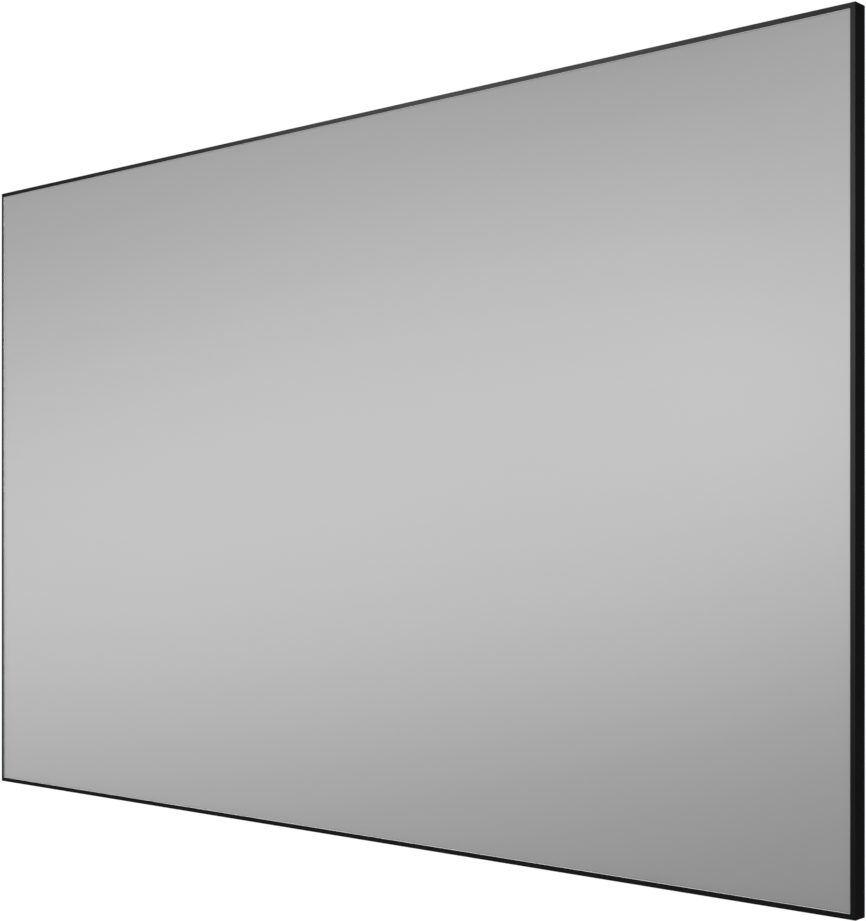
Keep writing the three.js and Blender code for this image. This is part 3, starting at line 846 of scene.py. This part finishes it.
# %% Rows of springs
spring_tree = spring_row_tree()
line_points = spring_line()
line_edges = [(i, i + 1) for i in range(len(line_points) - 1)]
for name, side in SIDES.items():
    for label, start, end in stretches(name):
        first, pitch, count = spring_row(name, start, end)
        springs = mesh_object(f"springs_{label}", line_points, [], line_edges)
        springs = run_tree(springs, spring_tree, Wire_radius=WIRE_RADIUS, Springs=count,
                           First_place=first, Pitch=pitch, Finish=wire)
        springs.data.transform(side["matrix"])
        smooth(springs, 60)
        dress(springs, wire, "spring_steel", f"tension_rod_{label}")

# %% [markdown]
# Punched plates
#
# The elbows, joint plates and T-shaped brackets are flat steel, punched from sheet: a clean outline,
# round holes, and edges that tumbling has softened. A flat Blender curve makes all of that at once.
# Each outline and hole is a closed spline, the fill leaves the holes open, extrusion gives the
# thickness, and the curve's own bevel rounds the rims.

# %% Plates from flat curves
RIM = 0.25 * MM
STEEL_EDGE = 35


def rounded(corners, steps=5):
    """A closed outline whose corners, given as (x, y, radius), are rounded"""
    outline = []
    for i, (x, y, radius) in enumerate(corners):
        here = Vector((x, y))
        before = (Vector(corners[i - 1][:2]) - here).normalized()
        after = (Vector(corners[(i + 1) % len(corners)][:2]) - here).normalized()
        half = before.angle(after) / 2
        reach = radius / math.tan(half)
        middle = here + (before + after).normalized() * radius / math.sin(half)
        start, end = here + before * reach - middle, here + after * reach - middle
        turn = start.angle_signed(end)
        for k in range(steps + 1):
            outline.append(middle + Matrix.Rotation(-turn * k / steps, 2) @ start)
    return outline


def hole(x, y, radius, steps=32):
    angles = [2 * math.pi * i / steps for i in range(steps)]
    return [Vector((x + radius * math.cos(a), y + radius * math.sin(a))) for a in angles]


def punched_plate(name, outlines, thickness, rear):
    """A flat plate drawn in (x, z), with its rear face at the given depth"""
    curve = bpy.data.curves.new(name, "CURVE")
    curve.dimensions = "2D"
    curve.fill_mode = "BOTH"
    curve.extrude = thickness / 2 - RIM
    curve.bevel_depth = RIM
    curve.bevel_resolution = 2
    curve.offset = -RIM
    for outline in outlines:
        spline = curve.splines.new("POLY")
        spline.points.add(len(outline) - 1)
        for point, place in zip(spline.points, outline):
            point.co = (*place, 0, 1)
        spline.use_cyclic_u = True
    plate = add_object(name, curve)
    middle = Matrix.Translation((0, FRONT + rear - thickness / 2, 0))
    plate.matrix_world = middle @ Matrix.Rotation(math.pi / 2, 4, "X")
    plate = freeze(plate)
    weld(plate, HAIR / 4)
    smooth(plate, STEEL_EDGE)
    return plate


# %% [markdown]
# Elbows
#
# A corner elbow is a 4 mm steel L that slides into the slots of two mitred rails, and four grub screws
# jack it against the slots' lips. One elbow is drawn for a corner at the origin; each real corner is
# that one turned about the depth axis.

# %% Four elbows
PLATE = 4 * MM
PLATE_REAR = SLOT_UNDER_LIP - PLAY
PLATE_CORNER = 1.2 * MM
ELBOW_NEAR = SLOT_START + PLAY
ELBOW_FAR = SLOT_END - PLAY
GRUB_RADIUS = 2.5 * MM
GRUB_MARGIN = 16 * MM
elbow_middle = (ELBOW_NEAR + ELBOW_FAR) / 2
elbow_screws = [(ELBOW_FAR + GRUB_MARGIN, elbow_middle), (ELBOW_TIP - GRUB_MARGIN, elbow_middle),
                (elbow_middle, ELBOW_FAR + GRUB_MARGIN), (elbow_middle, ELBOW_TIP - GRUB_MARGIN)]
elbow_outline = rounded([(ELBOW_NEAR, ELBOW_NEAR, 2 * PLATE_CORNER), (ELBOW_TIP, ELBOW_NEAR, PLATE_CORNER),
                         (ELBOW_TIP, ELBOW_FAR, PLATE_CORNER), (ELBOW_FAR, ELBOW_FAR, PLATE_CORNER),
                         (ELBOW_FAR, ELBOW_TIP, PLATE_CORNER), (ELBOW_NEAR, ELBOW_TIP, PLATE_CORNER)])
CORNERS = {
    "bottom_left": (OUTER_LEFT, OUTER_BOTTOM, 0),
    "bottom_right": (OUTER_RIGHT, OUTER_BOTTOM, -math.pi / 2),
    "top_right": (OUTER_RIGHT, OUTER_TOP, math.pi),
    "top_left": (OUTER_LEFT, OUTER_TOP, math.pi / 2),
}
grub_places = []
for label, (x, z, turn) in CORNERS.items():
    corner = Matrix.Translation((x, 0, z)) @ Matrix.Rotation(turn, 4, "Y")
    outlines = [elbow_outline] + [hole(a, b, GRUB_RADIUS) for a, b in elbow_screws]
    plate = punched_plate(f"corner_elbow_{label}", outlines, PLATE, PLATE_REAR)
    plate.data.transform(corner)
    dress(plate, zinc, "zinc_plate", f"elbow_{label}")
    grub_places += [corner @ Vector((a, FRONT + PLATE_REAR, b)) for a, b in elbow_screws]

# %% [markdown]
# Joint plates and T-shaped brackets
#
# The long rails are each two halves. A straight plate in the slot bridges the joint, held by four grub
# screws. On it lies a T-shaped bracket: two screws pull its head to the joint plate, and two more hold
# its stem on the support bar.

# %% Outlines of the middle plates
TEE = 2 * MM
TEE_HALF = 40 * MM
TEE_STEM_HALF = 15 * MM
TEE_STEM = 46 * MM
TEE_CORNER = 4 * MM
TEE_SPREAD = 28 * MM
TEE_LOW_SCREW, TEE_HIGH_SCREW = 0.3 * TEE_STEM, 0.75 * TEE_STEM
SCREW_RADIUS = 2.4 * MM
TEE_REAR = SLOT_FACE + PLAY + TEE
MOUTH_MIDDLE = (MOUTH_START + MOUTH_END) / 2

foot = OUTER_BOTTOM + SLOT_START
edge = OUTER_BOTTOM + RAIL_INNER
slot_line = OUTER_BOTTOM + MOUTH_MIDDLE
half_plate = (SLOT_END - SLOT_START) / 2 - PLAY
tee_outline = rounded([
    (-TEE_HALF, foot, TEE_CORNER), (TEE_HALF, foot, TEE_CORNER), (TEE_HALF, edge, TEE_CORNER),
    (TEE_STEM_HALF, edge, TEE_CORNER), (TEE_STEM_HALF, edge + TEE_STEM, TEE_CORNER),
    (-TEE_STEM_HALF, edge + TEE_STEM, TEE_CORNER), (-TEE_STEM_HALF, edge, TEE_CORNER),
    (-TEE_HALF, edge, TEE_CORNER)])
tee_screws = [(-TEE_SPREAD, slot_line), (TEE_SPREAD, slot_line),
              (0, edge + TEE_LOW_SCREW), (0, edge + TEE_HIGH_SCREW)]
low_edge, high_edge = slot_line - half_plate, slot_line + half_plate
strip_outline = rounded([
    (-JOINT_HALF, low_edge, PLATE_CORNER), (JOINT_HALF, low_edge, PLATE_CORNER),
    (JOINT_HALF, high_edge, PLATE_CORNER), (-JOINT_HALF, high_edge, PLATE_CORNER)])
strip_screws = [(sign * along, slot_line) for sign in (-1, 1)
                for along in (TEE_HALF + GRUB_MARGIN / 2, JOINT_HALF - GRUB_MARGIN)]

# %% Plates and brackets, below and above
screw_places = []
for label, turn in (("bottom", 0), ("top", math.pi)):
    placed = Matrix.Rotation(turn, 4, "Y")
    outlines = [strip_outline] + [hole(a, b, GRUB_RADIUS) for a, b in strip_screws]
    outlines += [hole(a, b, SCREW_RADIUS) for a, b in tee_screws[:2]]
    strip = punched_plate(f"middle_joint_plate_{label}", outlines, PLATE, PLATE_REAR)
    strip.data.transform(placed)
    dress(strip, zinc, "zinc_plate", f"joint_plate_{label}")
    grub_places += [placed @ Vector((a, FRONT + PLATE_REAR, b)) for a, b in strip_screws]
    outlines = [tee_outline] + [hole(a, b, SCREW_RADIUS + PLAY) for a, b in tee_screws]
    tee = punched_plate(f"tee_bracket_{label}", outlines, TEE, TEE_REAR)
    tee.data.transform(placed)
    dress(tee, zinc, "zinc_plate", f"bar_bracket_{label}")
    screw_places += [placed @ Vector((a, FRONT + TEE_REAR, b)) for a, b in tee_screws]
print("grub screws:", len(grub_places), "button screws:", len(screw_places))

# %% [markdown]
# Screws
#
# Two kinds of screw repeat: eight with a button head, and twenty-four headless grub screws, both with a
# hexagon socket. Each kind is turned once as a half profile spun round its axis, and its socket is cut
# with a boolean. A node tree then sets that one screw on every point of a small cloud of places.

# %% Turn one screw and cut its socket
SCREW_SIDES = 32
ALONG_DEPTH = Matrix(((1, 0, 0, 0), (0, 0, 1, 0), (0, -1, 0, 0), (0, 0, 0, 1)))


def cut_away(piece, cutter):
    """Cut the cutter's shape out of the piece when it is frozen"""
    cut = piece.modifiers.new("cut", "BOOLEAN")
    cut.operation = "DIFFERENCE"
    cut.solver = "EXACT"
    cut.object = cutter


def turned_screw(name, profile, socket_radius, socket_depth):
    """A screw along +Y, its top at the last profile point. The profile is (radius, height) from below"""
    screw = mesh_object(name, *round_bar(profile, SCREW_SIDES, ALONG_DEPTH))
    top = profile[-1][1]
    hexagon = [(socket_radius, top - socket_depth), (socket_radius, top + socket_depth)]
    cutter = mesh_object("socket_cutter", *round_bar(hexagon, 6, ALONG_DEPTH))
    cut_away(screw, cutter)
    screw = freeze(screw)
    bpy.data.objects.remove(cutter)
    smooth(screw, STEEL_EDGE)
    return screw


# %% Button screw and grub screw
HEAD_RADIUS, HEAD_HEIGHT = 4.5 * MM, 2.0 * MM
HEAD_RIM, HEAD_BREAK = 0.3 * MM, 0.2 * MM
DOME_STEPS, DOME_ANGLE = 7, math.radians(70)
SHANK, SHANK_POINT = 8.2 * MM, 0.4 * MM
BUTTON_SOCKET = (1.5 * MM, 1.3 * MM)
GRUB_LENGTH = PLATE_REAR - SLOT_FLOOR - 2 * PLAY
GRUB_BODY = 0.96 * GRUB_RADIUS
GRUB_POINT, GRUB_EDGE = 1.0 * MM, 0.5 * MM
GRUB_SOCKET = (1.25 * MM, 2.5 * MM)

button_profile = [(SCREW_RADIUS * 0.8, -SHANK), (SCREW_RADIUS, -SHANK + SHANK_POINT), (SCREW_RADIUS, 0),
                  (HEAD_RADIUS - HEAD_BREAK, 0), (HEAD_RADIUS, HEAD_RIM)]
for step in range(1, DOME_STEPS + 1):
    angle = DOME_ANGLE * step / DOME_STEPS
    rise = math.sin(angle) / math.sin(DOME_ANGLE)
    button_profile.append((HEAD_RADIUS * math.cos(angle), HEAD_RIM + (HEAD_HEIGHT - HEAD_RIM) * rise))
grub_profile = [(GRUB_RADIUS * 0.6, -GRUB_LENGTH), (GRUB_BODY, -GRUB_LENGTH + GRUB_POINT),
                (GRUB_BODY, -GRUB_EDGE), (GRUB_RADIUS * 0.8, -PLAY)]
button_screw = turned_screw("button_screw", button_profile, *BUTTON_SOCKET)
grub_screw = turned_screw("grub_screw", grub_profile, *GRUB_SOCKET)
print("faces:", len(button_screw.data.polygons), len(grub_screw.data.polygons))

# %% Node tree that sets a screw at each place
def screw_set_tree():
    tree, given = geometry_tree("screw_set", "Set", Places="Geometry", Screw="Object", Size="Float",
                                Finish="Material")
    pattern = node(tree, "GeometryNodeObjectInfo", {"Object": given["Screw"]})
    copies = node(tree, "GeometryNodeInstanceOnPoints", {"Points": given["Places"], "Scale": given["Size"],
                                                         "Instance": pattern.outputs["Geometry"]})
    return join_copies(tree, copies, given["Finish"])


# %% Both sets of screws
button_nodes = [f"bar_screw_{label}_{i}" for label in ("top", "bottom") for i in range(1, 5)]
grub_nodes = [f"elbow_{label}" for label in CORNERS] + ["joint_plate_top", "joint_plate_bottom"]
screw_tree = screw_set_tree()
for name, places, pattern, nodes in (("button_screws", screw_places, button_screw, button_nodes),
                                     ("grub_screws", grub_places, grub_screw, grub_nodes)):
    screws = run_tree(mesh_object(name, places, []), screw_tree, Screw=pattern, Size=1.0, Finish=oxide)
    dress(screws, oxide, "black_screws", *nodes)
    bpy.data.objects.remove(pattern)

# %% [markdown]
# Wall brackets
#
# Each wall bracket is a strip of 2 mm steel, bent twice: a plate against the wall with two screw holes,
# an arm into the slot's mouth, and a tongue behind the lip. The section is swept across the strip's
# width, the holes are cut with a boolean, and a Bevel modifier breaks the sheared edges.

# %% Section of a wall bracket
STRIP = 2 * MM
WALL_PLANE = 32.3 * MM
HANGER_WIDTH = 70 * MM
HANGER_HEIGHT = 32 * MM
HANGER_BEND = 1 * MM
HANGER_HOLE = 2.6 * MM
HANGER_HOLE_SPREAD = 23 * MM
HANGER_HOLE_SIDES = 40
SHARP = 0.01 * MM

arm_near = MOUTH_START + PLAY
arm_far = arm_near + STRIP
tongue_rear = SLOT_UNDER_LIP - PLAY
tongue_tip = SLOT_START + 2 * PLAY
outer_bend = HANGER_BEND + STRIP
hanger_section = rounded([
    (tongue_tip, tongue_rear - STRIP, SHARP), (arm_far, tongue_rear - STRIP, outer_bend),
    (arm_far, WALL_PLANE, outer_bend), (arm_far - HANGER_HEIGHT, WALL_PLANE, SHARP),
    (arm_far - HANGER_HEIGHT, WALL_PLANE - STRIP, SHARP), (arm_near, WALL_PLANE - STRIP, HANGER_BEND),
    (arm_near, tongue_rear, HANGER_BEND), (tongue_tip, tongue_rear, SHARP)], steps=6)
print("points in the bracket's section:", len(hanger_section))

# %% Sweep, drill and bevel one wall bracket
def wall_bracket(label, side, run):
    """A wall bracket at that run along the side"""
    count = len(hanger_section)
    ends = (run - HANGER_WIDTH / 2, run + HANGER_WIDTH / 2)
    vertices = [side["matrix"] @ Vector((p.x, p.y, end)) for end in ends for p in hanger_section]
    faces = [tuple(reversed(range(count))), tuple(range(count, 2 * count))]
    faces += [(i, (i + 1) % count, count + (i + 1) % count, count + i) for i in range(count)]
    strip = mesh_object(f"steel_hanger_{label}", vertices, faces)
    weld(strip, HAIR)
    cutters = []
    for offset in (-HANGER_HOLE_SPREAD, HANGER_HOLE_SPREAD):
        centre = Matrix.Translation((arm_far - HANGER_HEIGHT / 2, WALL_PLANE - STRIP / 2, run + offset))
        drill = [(HANGER_HOLE, -STRIP), (HANGER_HOLE, STRIP)]
        turned = side["matrix"] @ centre @ ALONG_DEPTH
        cutters.append(mesh_object("drill", *round_bar(drill, HANGER_HOLE_SIDES, turned)))
        cut_away(strip, cutters[-1])
    edge_break = strip.modifiers.new("edge_break", "BEVEL")
    edge_break.width = RIM
    edge_break.segments = 2
    edge_break.limit_method = "ANGLE"
    edge_break.angle_limit = math.radians(50)
    strip = freeze(strip)
    for cutter in cutters:
        bpy.data.objects.remove(cutter)
    smooth(strip, STEEL_EDGE)
    return strip


# %% Four wall brackets
# Whole bays of springs between the corner and the bay in whose middle a bracket hangs
HANGER_BAY = 1

for name in ("bottom", "top"):
    side = SIDES[name]
    for label, start, end in stretches(name):
        first, pitch, count = spring_row(name, start, end)
        from_corner = HANGER_BAY + 0.5 if start < -side["length"] / 4 else count - 1.5 - HANGER_BAY
        hanger = wall_bracket(label, side, first + pitch * from_corner)
        dress(hanger, powder, "bracket_steel", f"wall_bracket_{label}")
